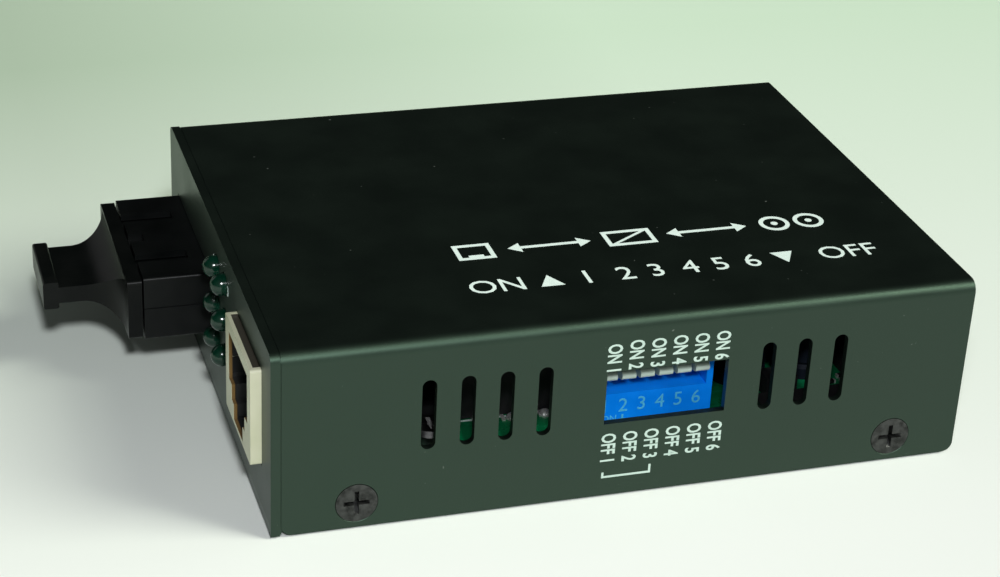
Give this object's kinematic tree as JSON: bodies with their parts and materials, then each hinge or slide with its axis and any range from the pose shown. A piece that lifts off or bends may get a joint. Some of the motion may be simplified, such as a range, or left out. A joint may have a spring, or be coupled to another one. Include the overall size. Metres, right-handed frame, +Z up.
{
  "type": "fibre media converter",
  "caption": "Small folded-steel network box that links a copper port to duplex fibre, with status lamps, a window of piano mode switches and a pull-out dust plug.",
  "frame": {"origin": "centre of the case's underside, on the surface it stands on", "axes": "+X from the port panel towards the power panel, +Y away from the switch window, +Z up"},
  "size_m": [0.1159, 0.071, 0.026],
  "materials": {
    "case_paint": "satin black powder coat",
    "black_screw": "black oxide",
    "plated_steel": "zinc plated",
    "standoff_brass": "turned",
    "board_green": "solder-masked glass epoxy",
    "jack_cream": "moulded",
    "black_plastic": "moulded",
    "transceiver_black": "moulded",
    "plug_black": "moulded, satin",
    "switch_blue": "moulded",
    "lever_white": "moulded",
    "lamp_green": "translucent epoxy",
    "chip_black": "moulded",
    "capacitor_sleeve": "printed sleeve",
    "barrel_metal": "turned",
    "contact_metal": "gold plated"
  },
  "bodies": {
    "case": {"board_screw_1": "plated_steel", "board_screw_2": "plated_steel", "board_screw_3": "plated_steel", "board_screw_4": "plated_steel", "board_standoff_1": "standoff_brass", "board_standoff_2": "standoff_brass", "board_standoff_3": "standoff_brass", "board_standoff_4": "standoff_brass", "bottom_tray": "case_paint", "capacitor_1": "capacitor_sleeve", "capacitor_2": "capacitor_sleeve", "case_screw_1": "black_screw", "case_screw_2": "black_screw", "case_screw_3": "black_screw", "case_screw_4": "black_screw", "circuit_board": "board_green", "crystal": "plated_steel", "dc_inlet": "black_plastic", "dc_inlet_pin": "contact_metal", "dc_inlet_spring": "contact_metal", "dip_axle": "contact_metal", "dip_housing": "switch_blue", "dip_pins": "contact_metal", "led_1": "lamp_green", "led_2": "lamp_green", "led_3": "lamp_green", "led_4": "lamp_green", "led_5": "lamp_green", "led_6": "lamp_green", "led_holder_1": "black_plastic", "led_holder_2": "black_plastic", "line_transformer": "chip_black", "line_transformer_leads": "contact_metal", "main_chip": "chip_black", "main_chip_leads": "contact_metal", "power_choke": "chip_black", "receive_barrel": "barrel_metal", "regulator": "chip_black", "rj45_contacts": "contact_metal", "rj45_housing": "jack_cream", "rj45_insert": "black_plastic", "top_cover": "case_paint", "transceiver_housing": "transceiver_black", "transceiver_pins": "contact_metal", "transmit_barrel": "barrel_metal"},
    "plug": {"dust_plug": "plug_black"},
    "lever_1": {"dip_lever_1": "lever_white"},
    "lever_2": {"dip_lever_2": "lever_white"},
    "lever_3": {"dip_lever_3": "lever_white"},
    "lever_4": {"dip_lever_4": "lever_white"},
    "lever_5": {"dip_lever_5": "lever_white"},
    "lever_6": {"dip_lever_6": "lever_white"}
  },
  "joints": [
    {"name": "plug_pull", "type": "slide", "parent": "case", "child": "plug", "axis": [-1, 0, 0], "range_m": [0, 0.014]},
    {"name": "switch_1", "type": "hinge", "parent": "case", "child": "lever_1", "pos_m": [-0.00187, -0.025, 0.0142], "axis": [1, 0, 0], "range_deg": [0, 22]},
    {"name": "switch_2", "type": "hinge", "parent": "case", "child": "lever_2", "pos_m": [0.00067, -0.025, 0.0142], "axis": [1, 0, 0], "range_deg": [0, 22]},
    {"name": "switch_3", "type": "hinge", "parent": "case", "child": "lever_3", "pos_m": [0.0032, -0.025, 0.0142], "axis": [1, 0, 0], "range_deg": [0, 22]},
    {"name": "switch_4", "type": "hinge", "parent": "case", "child": "lever_4", "pos_m": [0.00575, -0.025, 0.0142], "axis": [1, 0, 0], "range_deg": [0, 22]},
    {"name": "switch_5", "type": "hinge", "parent": "case", "child": "lever_5", "pos_m": [0.00829, -0.025, 0.0142], "axis": [1, 0, 0], "range_deg": [0, 22]},
    {"name": "switch_6", "type": "hinge", "parent": "case", "child": "lever_6", "pos_m": [0.01082, -0.025, 0.0142], "axis": [1, 0, 0], "range_deg": [0, 22]}
  ]
}
